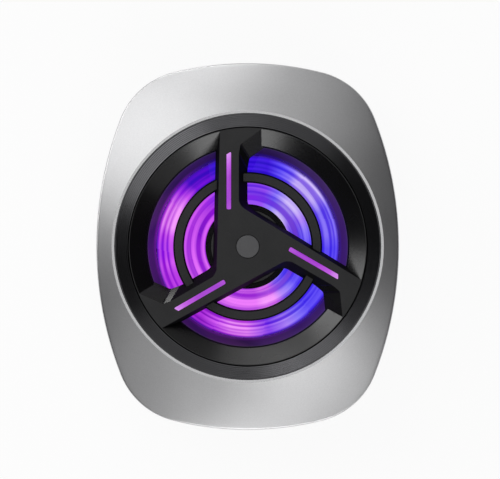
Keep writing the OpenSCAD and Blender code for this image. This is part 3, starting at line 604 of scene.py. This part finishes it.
smooth(hub, 40)


def by_turn(stops):
    """Ramp stops from degrees around the axis, -180 to 180, and web colours."""
    return [(turn / 360 + 0.5, colour(code)) for turn, code in stops]


def grey(value):
    """Linear colour without a hue."""
    return (value, value, value, 1)


glow_r, guard_r = 24, 16


def by_radius(stops):
    """Ramp stops from radii in mm, as shares of the radius where the ramps end."""
    return [(r / glow_r, grey(value)) for r, value in stops]


shades = {
    "midnight": ("#2a08c6", "#4418e4"), "indigo": ("#3808bc", "#7812dc"), "blue": ("#3a22e8", "#6a56fa"),
    "azure": ("#5034e4", "#907cfc"), "lavender": ("#8462e4", "#d0bcfc"), "iris": ("#6434e0", "#b48afa"),
    "violet": ("#5414dc", "#9a50f2"), "purple": ("#8408dc", "#ca50f0"), "magenta": ("#9006d2", "#da60f8"),
    "rose": ("#8c0ccc", "#ee7cfc"), "orchid": ("#b02cda", "#f69cfe"), "plum": ("#7a0ab4", "#b434e2"),
    "fuchsia": ("#900ad0", "#c040e8"),
}
outer_hues = (
    (-180, "purple"), (-174, "purple"), (-168, "magenta"), (-160, "fuchsia"), (-138, "fuchsia"),
    (-122, "plum"), (-113, "magenta"), (-104, "orchid"), (-91, "orchid"), (-75, "violet"), (-64, "iris"),
    (-54, "azure"), (-45, "blue"), (0, "blue"), (8, "azure"), (26, "azure"), (36, "lavender"),
    (53, "lavender"), (60, "azure"), (67, "blue"), (76, "midnight"), (110, "midnight"), (120, "indigo"),
    (132, "indigo"), (142, "purple"), (152, "orchid"), (164, "orchid"), (172, "magenta"), (178, "purple"),
    (180, "purple"),
)
inner_hues = (
    (-180, "magenta"), (-120, "rose"), (-82, "rose"), (-74, "orchid"), (-63, "orchid"), (-54, "iris"),
    (-45, "azure"), (-37, "blue"), (0, "blue"), (14, "azure"), (26, "iris"), (37, "lavender"),
    (48, "lavender"), (60, "azure"), (72, "violet"), (110, "violet"), (134, "purple"), (150, "magenta"),
    (180, "magenta"),
)
# The blades' glow is painted into their emission colour: their hues around the axis, the bright arcs that
# their lamps draw on them as they turn, and the darker tips.
lit = Finish("lit_blades")
far, turned = lit.far(), lit.turned()
share = far / (glow_r * mm)
cloud = lit.noise(7 * mm, 1.0)
wisp = lit.ramp(lit.streaks(0.8 * mm, 28 * mm), [(0.4, grey(0)), (0.64, grey(1))])
swept = turned + 0.02 * cloud - 0.01
outer_rings = lit.ramp(share, by_radius([
    (17.2, 0.4), (17.9, 1), (18.4, 0.5), (18.9, 0.8), (19.5, 0.15), (20.1, 0.5), (20.5, 1), (20.9, 0.4),
]))
inner_rings = lit.ramp(share, by_radius([
    (9.8, 0.7), (10.3, 1), (10.8, 0.4), (11.3, 0), (11.9, 0.1), (12.4, 1), (13, 0.6), (13.6, 0.95),
    (14.2, 0.75), (14.7, 0.2),
]))
outer_dark, outer_pale, inner_dark, inner_pale = (
    lit.ramp(swept, by_turn([(turn, shades[name][side]) for turn, name in row]))
    for row in (outer_hues, inner_hues) for side in (0, 1)
)
deep_band = lit.ramp(share, by_radius([(10.6, 0), (11.1, 0.95), (11.8, 0.95), (12.3, 0)]))
deep = lit.ramp(turned, by_turn([
    (-180, "#9216d2"), (-82, "#9620d2"), (-66, "#a64ade"), (-50, "#7c48e0"), (-20, "#5a30d8"),
    (20, "#6c3ad2"), (45, "#7444da"), (60, "#6834e0"), (82, "#7a26e6"), (130, "#9012d4"), (160, "#7c0ac8"),
    (180, "#9216d2"),
]))
outer_flare = 0.5 * outer_rings + 0.85 * wisp - 0.28
inner_flare = 0.6 * inner_rings + 0.85 * wisp * (1 - 0.6 * deep_band) - 0.3
outer_light = lit.blend(outer_flare, outer_dark, outer_pale)
inner_light = lit.blend(inner_flare, lit.blend(deep_band, inner_dark, deep), inner_pale)
light = lit.blend(far > guard_r * mm, inner_light, outer_light)
tip_fade = lit.ramp(share, by_radius([(20.7, 0), (blade_end, 1)]))
# Painted shade: the glow turns black on the hub and on the blades just beyond it, where they meet the hub.
root_shade = 0.42
hub_and_root_shade = far < (hub_r + root_shade) * mm
light = lit.blend(hub_and_root_shade, lit.blend(tip_fade, light, colour("#3a1690")), (0, 0, 0, 1))
settle(hub, lit.surface(lit.principled({
    "Base Color": lit.blend(hub_and_root_shade, colour("#0a0412"), colour("#0c0c0d")),
    "Roughness": 0.5 + 0.1 * cloud,
    "Specular IOR Level": 0.1,
    "Emission Color": light,
    "Emission Strength": 1.0,
})), "blade_violet", "impeller", body="rotor")

cap = lathe("hub_disc", [
    (0, hub_top - 0.38), (cap_r - 0.04, hub_top - 0.38), (cap_r, hub_top - 0.12), (cap_r - 0.14, hub_top),
    (3.2, hub_top), (3.1, hub_top - 0.06), (0, hub_top - 0.06),
])
hub_black = grained("hub_plastic", "#0c0c0d", "#141415", 0.4, 0.2 * mm, 0.004 * mm)
settle(cap, hub_black, "grille_black", "hub_cap", body="rotor")


# Diffuser ring and lamps
# A tinted ring slopes from the duct up to the windows and spreads the light of small lamps on a ring board.
# The lamps are milky blocks, one beside each stretch of the duct and one under each light bar.
(_, _, tint_low), (tint_r, _, tint_top) = size("diffuser_ring")
duct_r = blade_end + tip_room
tint = lathe("tinted_ring", [
    (duct_r, tint_low), (tint_r, tint_low), (tint_r, tint_top), (tint_r - 0.78, tint_top),
    (tint_r - 1, tint_top - 0.3), (tint_r - 1.7, tint_low + 1.4), (duct_r + 0.2, tint_low + 0.7),
    (duct_r, tint_low + 0.5), (duct_r, tint_low),
])
violet = Finish("tinted_diffuser")
patch = violet.noise(5 * mm, 2.0)
around = violet.turned() + 0.06 * patch - 0.03
# The ring's glow is painted into its emission colour: it changes around the ring, and next to the blades lies
# a brighter painted spill of their light.
band = violet.ramp(around, by_turn([
    (-180, "#42186a"), (-120, "#361656"), (-92, "#1c0c28"), (-60, "#3a1a60"), (0, "#421c70"), (40, "#3a1c5e"),
    (78, "#22123a"), (108, "#28144a"), (150, "#341858"), (180, "#42186a"),
]))
spill = violet.ramp(around, by_turn([
    (-180, "#7018a6"), (-90, "#581480"), (-40, "#3a1698"), (50, "#4420a6"), (80, "#28108e"), (120, "#2c128c"),
    (155, "#9420cc"), (180, "#7018a6"),
]))
near_blades = violet.ramp(violet.far() / (glow_r * mm), by_radius([(21.4, 1), (21.9, 0)]))
shade = violet.blend(near_blades, band, spill)
settle(tint, violet.surface(violet.principled({
    "Base Color": violet.blend(patch, colour("#1a0a2c"), colour("#24103c")),
    "Roughness": 0.35 + 0.1 * patch,
    "Emission Color": shade,
    "Emission Strength": 0.55,
})), "diffuser_violet", "diffuser_ring")
dress(grained("milky_lens", "#dcd6e6", "#eee9f4", 0.3, 0.3 * mm, 0.002 * mm), "side_lamps", "bar_lamps")


# Front grille
# One black moulding holds a stepped bowl, three spokes that stand beside the axis, and a lower guard ring.
# A shoulder runs from each spoke into the bowl, and a slot along each spoke takes a light guide.
face = size("hub_badge")[1][2]
window_low = hub_top + 0.6
depth = face - window_low
grille_r, spoke_count, fine_steps = 27.46, 3, 256
grille = lathe("pinwheel_grille", [
    (0, face), (grille_r, face), (grille_r, window_low), (0, window_low),
], fine_steps)

bowl_low_r, bowl_top_r = 23.2, 27.3
lip_w, lip_h = 0.34, 0.6
crease_r, crease_w = 25.3, 0.06
past = 0.3
bowl_slope = (depth - lip_h) / (bowl_top_r - bowl_low_r - lip_w)
crease_z = window_low + lip_h + (crease_r - bowl_low_r - lip_w) * bowl_slope
window = lathe("window", [
    (0, window_low - past), (bowl_low_r - past * lip_w / lip_h, window_low - past),
    (bowl_low_r + lip_w, window_low + lip_h), (crease_r, crease_z), (crease_r + crease_w, crease_z + 0.03),
    (bowl_top_r, face), (bowl_top_r + past / bowl_slope, face + past), (0, face + past),
], fine_steps)


def window_wall(turn, foot, draft):
    """Foot and normal of a window's wall, from its direction, its distance from the axis and its lean."""
    way = Vector((math.cos(math.radians(turn)), math.sin(math.radians(turn)), 0))
    return (foot * way + Vector((0, 0, face))) * mm, (depth * way + Vector((0, 0, draft))).normalized()


def slice_off(foot, normal):
    """In edit mode, cuts a piece at a plane, closes it and drops what lies behind."""
    bpy.ops.mesh.select_all(action="SELECT")
    bpy.ops.mesh.bisect(
        plane_co=foot, plane_no=normal, use_fill=True, clear_inner=True, threshold=0.0001 * mm,
    )


near_wall = window_wall(0, -2.05, 2)
far_wall = window_wall(58.6, 7.05, 0.9)
shoulder = window_wall(306, -20.1, 3.8)
facet = window_wall(350, -5.75, 2.6)
only(window)
bpy.ops.object.mode_set(mode="EDIT")
for foot, normal in (near_wall, far_wall, shoulder, facet):
    slice_off(foot, normal)
bpy.ops.mesh.select_all(action="SELECT")
bpy.ops.mesh.dissolve_limited(angle_limit=math.radians(0.3))
bpy.ops.mesh.select_mode(type="EDGE")
rounded = (((near_wall, far_wall), 1.4, 8), ((near_wall, facet), 0.4, 4), ((facet, shoulder), 0.4, 4))
for pair, tangent, steps in rounded:
    bpy.ops.mesh.select_all(action="DESELECT")
    shape = bmesh.from_edit_mesh(window.data)
    for line in shape.edges:
        gaps = [abs(normal.dot(corner.co - foot)) for corner in line.verts for foot, normal in pair]
        line.select_set(max(gaps) < 0.01 * mm)
    bmesh.update_edit_mesh(window.data)
    bpy.ops.mesh.bevel(offset=tangent * mm, segments=steps, affect="EDGES")
bpy.ops.mesh.select_mode(type="VERT")
bpy.ops.object.mode_set(mode="OBJECT")
cut(grille, turned_copies(window, spoke_count))

bar_low, bar_high = size("light_bar_1")
bar_x, bar_w = (bar_low[0] + bar_high[0]) / 2, bar_high[0] - bar_low[0]
bar_start, bar_end = bar_low[1], bar_low[1] + 13.3
tip_slant = math.radians(30)


def bar_block(gap, low, high):
    """A light bar's face, or the cutter for its slot: its outer end is cut at a slant."""
    length = bar_end - bar_start + 2 * gap
    block = tablet(bar_w + 2 * gap, length, high - low, bar_w * 0.3, 2)
    put(block, bar_x, (bar_start + bar_end) / 2, (low + high) / 2)
    corner = Vector((bar_x + bar_w / 2 + gap, bar_end + gap, 0)) * mm
    way = Vector((math.sin(tip_slant), -math.cos(tip_slant), 0))
    bpy.ops.object.mode_set(mode="EDIT")
    slice_off(corner, way)
    bpy.ops.object.mode_set(mode="OBJECT")
    return block


def soften(piece, width, segments=2, angle=35):
    """Rounds the edges that are sharper than an angle."""
    bevel = piece.modifiers.new("edges", "BEVEL")
    bevel.width = width * mm
    bevel.segments = segments
    bevel.limit_method = "ANGLE"
    bevel.angle_limit = math.radians(angle)
    apply(piece, bevel)
    smooth(piece)


bar_gap, bar_depth, recess = 0.05, 1.15, 1.2
cut(grille, turned_copies(bar_block(bar_gap, face - recess, face + past), spoke_count))
badge_r, badge_steps = size("hub_badge")[1][0], 96
cut(grille, [rod(0, 0, face - 0.5, face + past, badge_r + 0.06, badge_steps)])
soften(grille, 0.09)
guard_in, guard_out, guard_top = 14.75, 17.25, window_low + 1.6
guard_edge, guard_drop = 0.37, 0.6
guard = lathe("guard", [
    (guard_in, window_low), (guard_out, window_low), (guard_out, guard_top - guard_drop),
    (guard_out - guard_edge, guard_top), (guard_in + guard_edge, guard_top),
    (guard_in, guard_top - guard_drop), (guard_in, window_low),
])
(_, _, flange_low), (flange_r, _, _) = size("front_grille")
trim_low = size("trim_ring")[0][2]
skirt_in, skirt_out = grille_r - 0.66, grille_r - 0.26
flange = lathe("flange", [
    (skirt_in, flange_low), (flange_r, flange_low), (flange_r, trim_low), (skirt_out, trim_low),
    (skirt_out, window_low + 0.3), (skirt_in, window_low + 0.3), (skirt_in, flange_low),
])
joined([grille, guard, flange])
smooth(grille, 12)
weighted = grille.modifiers.new("even", "WEIGHTED_NORMAL")
weighted.keep_sharp = True
apply(grille, weighted)
upward = grille.data.attributes.new("upward", "FLOAT", "FACE")
for patch_face, value in zip(grille.data.polygons, upward.data):
    value.value = patch_face.normal.z

moulded = Finish("grille_plastic")
facet_low, facet_high, top_low = 0.59, 0.68, 0.93
tilt = moulded.node("ShaderNodeAttribute", {"attribute_name": "upward"}, out="Fac")
fine = moulded.noise(0.2 * mm, 4.0)
broad = moulded.noise(6 * mm, 2.0)
mottle = 0.5 * fine + 0.5 * broad
top = moulded.principled({
    "Base Color": moulded.ramp(mottle, [(0.3, colour("#202021")), (0.7, colour("#2a2a2b"))]),
    "Roughness": 0.5 + 0.1 * broad,
    "Specular IOR Level": 0.25,
    "Normal": moulded.bump(fine, 0.004 * mm),
})
on_facet = (tilt > facet_low) * (tilt < facet_high)
# The shading of the spokes' facets leans a little, as on a hollow face.
hollow = on_facet * moulded.z / mm
# The sloping faces are polished and the steep walls matte, and both are painted near black, far darker than
# the satin tops: partly their finish, partly painted shade.
polished = moulded.principled({
    "Base Color": moulded.blend(broad, colour("#030303"), colour("#050505")),
    "Roughness": 0.24 + 0.06 * broad,
    "Normal": moulded.bump(-0.24 * hollow, mm),
})
shaded_walls = moulded.principled({
    "Base Color": moulded.blend(broad, colour("#040405"), colour("#070708")),
    "Roughness": 0.6 + 0.1 * broad,
    "Specular IOR Level": 0.1,
})
lower = moulded.node("ShaderNodeMixShader", {}, {
    0: moulded.ramp(tilt, [(0.53, grey(0)), (0.6, grey(1))]), 1: shaded_walls, 2: polished,
})
moulding = moulded.node("ShaderNodeMixShader", {}, {0: tilt > top_low, 1: lower, 2: top})
settle(grille, moulded.surface(moulding), "grille_black", "front_grille")


# Light bars and badge
# A milky light guide lies flush in each spoke, brighter towards the rim, where its lamp stands under it.
# A plain round disc of satin grey closes the hub.
guide = Finish("lit_light_guide")
bar_in_r = math.hypot(bar_x, bar_start)
bar_out_r = math.hypot(bar_x, bar_end)
cloud = guide.noise(1.5 * mm, 1.0)
outward = (guide.far() - bar_in_r * mm) / ((bar_out_r - bar_in_r) * mm)
guide_glow = guide.ramp(outward + 0.12 * cloud - 0.06, [
    (0.0, colour("#b04ad4")), (0.15, colour("#a034cc")), (0.55, colour("#a634cc")), (0.8, colour("#c258e2")),
    (1.0, colour("#de98f2")),
])
guide_finish = guide.surface(guide.principled({
    "Base Color": guide.blend(cloud, colour("#34144a"), colour("#421e5a")),
    "Roughness": 0.3 + 0.1 * cloud,
    "Emission Color": guide_glow,
    "Emission Strength": 0.9,
}))
bar = bar_block(0, face - bar_depth, face - 0.01)
soften(bar, 0.08)
for number, copy in enumerate(turned_copies(bar, spoke_count), 1):
    copy.name = copy.data.name = f"light_guide_{number}"
    settle(copy, guide_finish, "light_guide", f"light_bar_{number}")
badge = lathe("plain_badge", [
    (0, face - 0.48), (badge_r - 0.04, face - 0.48), (badge_r - 0.04, face - 0.14),
    (badge_r - 0.14, face - 0.04), (badge_r - 0.4, face - 0.02), (0, face - 0.02),
], badge_steps)
satin = grained("satin_badge", "#3e3e40", "#4a4a4c", 0.3, 0.2 * mm, 0.002 * mm)
settle(badge, satin, "badge_grey", "hub_badge")


# Trim ring
# A black ring of turned aluminium fills the shell's opening; its fine grooves catch the light in two lobes.
# Its flange is bonded under the shell, and the grille is screwed to it from behind.
trim_in, trim_out = 27.5, 30.9
trim_fall = 0.25 / (trim_out - trim_in)
flange_out, flange_t = size("trim_ring")[1][0], 1.15
groove_count, groove_pitch, groove_depth, groove_fall = 7, 0.4, 0.13, 0.12
flat_rim = 0.34
grooves = []
for i in range(groove_count):
    r = trim_out - flat_rim - i * groove_pitch
    z = face + trim_fall * (r - trim_in)
    grooves += [(r, z), (r - groove_fall, z - groove_depth)]
grooves.append((r - groove_pitch, z - trim_fall * groove_pitch))
trim = lathe("grooved_trim", [
    (trim_in, trim_low), (flange_out, trim_low), (flange_out, trim_low + flange_t),
    (trim_out, trim_low + flange_t), (trim_out, face - 0.1), (trim_out - 0.2, face + 0.22), *grooves,
    (trim_in, face - 0.35), (trim_in, trim_low),
], fine_steps)
smooth(trim, 12)
black = Finish("black_turned_metal")
tool_mark = black.streaks(0.05 * mm, 6 * mm)
settle(trim, black.surface(black.principled({
    "Base Color": black.blend(tool_mark, colour("#555557"), colour("#5f5f61")),
    "Metallic": 1.0,
    "Roughness": 0.2 + 0.06 * tool_mark,
    "Normal": black.bump(tool_mark, 0.0008 * mm),
})), "trim_black", "trim_ring")


# Front shell
# A domed shell of bead-blasted, clear anodised aluminium covers the front and turns down at its edge.
# The edge of its round opening is a thin lip over the trim ring, cut with a polished bevel after anodising.
opening_r, front_dome_r, opening_bevel = 31, 120, 0.44
opening_top = face + 0.5
opening_lip = ((0.12, 0.2), (0.16, 0.31))


def dome(r, thick=0):
    """Height of the shell's outer face, or of its inner face, at a distance from the axis."""
    centre = opening_top - math.sqrt(front_dome_r**2 - opening_r**2)
    return centre + math.sqrt((front_dome_r - thick) ** 2 - r**2)


def dome_inner(r):
    return dome(r, wall)


dome_steps, rim_steps, inner_steps = 12, 7, 5
rim_w = 0.4
rim_slope = math.radians(17)
rim_r = rim_w / (1 - math.sin(rim_slope))
rim_line = edge(rim_w)
bevel_edge = hoop(opening_r + opening_bevel)
loops = [level(hoop(opening_r), dome_inner), level(hoop(opening_r), face)]
loops += [level(hoop(opening_r - inward), face + up) for inward, up in opening_lip]
loops += [level(between(bevel_edge, rim_line, i / dome_steps), dome) for i in range(dome_steps + 1)]
for step in range(1, rim_steps + 1):
    turn = rim_slope + (math.pi / 2 - rim_slope) * step / rim_steps
    drawn = edge(rim_r * (1 - math.sin(turn)))
    drop = rim_r * (math.cos(rim_slope) - math.cos(turn))
    loops.append([(x, y, dome(math.hypot(*top)) - drop) for (x, y), top in zip(drawn, rim_line)])
loops += [level(edge(0), shell_low + 0.2), level(edge(0.2), shell_low), level(edge(wall), shell_low)]
wall_line, inner_hoop = edge(wall), hoop(opening_r)
loops += [level(between(wall_line, inner_hoop, i / inner_steps), dome_inner) for i in range(inner_steps + 1)]
shell = skin("domed_shell", loops)
smooth(shell, 13)
silver = Finish("blasted_aluminium")
bevel = (silver.far() < (opening_r + opening_bevel + 0.01) * mm) * (silver.z > (face - 0.7) * mm)
blast = silver.noise(0.28 * mm, 3.0)
broad = silver.noise(12 * mm, 2.0)
mottle = 0.4 * broad + 0.6 * blast
settle(shell, silver.surface(silver.principled({
    "Base Color": silver.ramp(mottle, [(0.3, colour("#b7b7b8")), (0.7, colour("#c3c3c4"))]),
    "Metallic": 1.0,
    "Roughness": 0.33 + 0.04 * broad - 0.13 * bevel,
    "Normal": silver.bump(blast * (1 - bevel), 0.004 * mm),
})), "shell_silver", "front_shell")


# Floor and studio light
# Soft lamps stand at the upper left and the lower right; low ones graze the bowl, end ones the shell's ends.
# The floor shows white to the camera and to reflections, and keeps the cooler's shadow.
bpy.ops.object.select_all(action="DESELECT")
bpy.ops.mesh.primitive_plane_add(size=6, location=(0, 0, -0.05 * mm))
floor = bpy.context.object
floor.name = "floor"
pale = Finish("pale_floor")
ray_kinds = ("Is Camera Ray", "Is Glossy Ray", "Is Transmission Ray")
rays = [pale.node("ShaderNodeLightPath", out=kind) for kind in ray_kinds]
seen = pale.node("ShaderNodeMath", {"operation": "MINIMUM"}, {0: rays[0] + rays[1] + rays[2], 1: 1.0})
matte = pale.node("ShaderNodeBsdfDiffuse", {}, {"Color": (0.8, 0.8, 0.8, 1)})
white = pale.node("ShaderNodeEmission", {}, {"Color": (1, 1, 1, 1), "Strength": 1.0})
paper = pale.node("ShaderNodeMixShader", {}, {0: 0.93 * seen, 1: matte, 2: white})
floor.data.materials.append(pale.surface(paper))


def softbox(name, turn, height, distance, width, length, power):
    """An area lamp aimed at the cooler: degrees around and above it, metres away, wide and long, watts."""
    a, e = math.radians(turn), math.radians(height)
    place = Vector((math.cos(a) * math.cos(e), math.sin(a) * math.cos(e), math.sin(e))) * distance
    place.z += face * mm
    bpy.ops.object.light_add(type="AREA", location=place, rotation=(0, math.pi / 2 - e, a))
    lamp = bpy.context.object
    lamp.name = name
    lamp.data.shape = "RECTANGLE"
    lamp.data.size = width
    lamp.data.size_y = length
    lamp.data.energy = power
    lamp.visible_camera = False


softbox("key_lamp", 134, 53, 0.7, 0.42, 0.42, 1.08)
softbox("key_side_lamp", 76, 53, 0.7, 0.45, 0.45, 0.34)
softbox("fill_lamp", 297, 57, 0.7, 0.34, 0.34, 0.6)
softbox("fill_side_lamp", 240, 53, 0.7, 0.45, 0.45, 0.3)
softbox("end_key_lamp", 97, 33, 0.7, 0.18, 0.18, 0.4)
softbox("end_fill_lamp", 268, 33, 0.7, 0.18, 0.18, 0.32)
softbox("low_key_lamp", 152, 19, 0.6, 0.16, 0.5, 1.24)
softbox("low_fill_lamp", 276, 19, 0.6, 0.16, 0.5, 1.2)
softbox("low_tail_lamp", 307, 19, 0.6, 0.16, 0.45, 0.16)
softbox("low_side_lamp", 102, 19, 0.6, 0.16, 0.55, 0.47)
softbox("low_left_lamp", 110, 5, 0.6, 0.1, 0.12, 0.34)
softbox("low_right_lamp", 56, 12, 0.6, 0.2, 0.45, 0.13)
softbox("top_lamp", 90, 90, 0.5, 0.26, 0.26, 0.21)
world = bpy.data.worlds.new("studio")
bpy.context.scene.world = world
world.use_nodes = True
world.node_tree.nodes["Background"].inputs["Color"].default_value = (0.042, 0.042, 0.044, 1)
bpy.context.scene.view_settings.view_transform = "Standard"
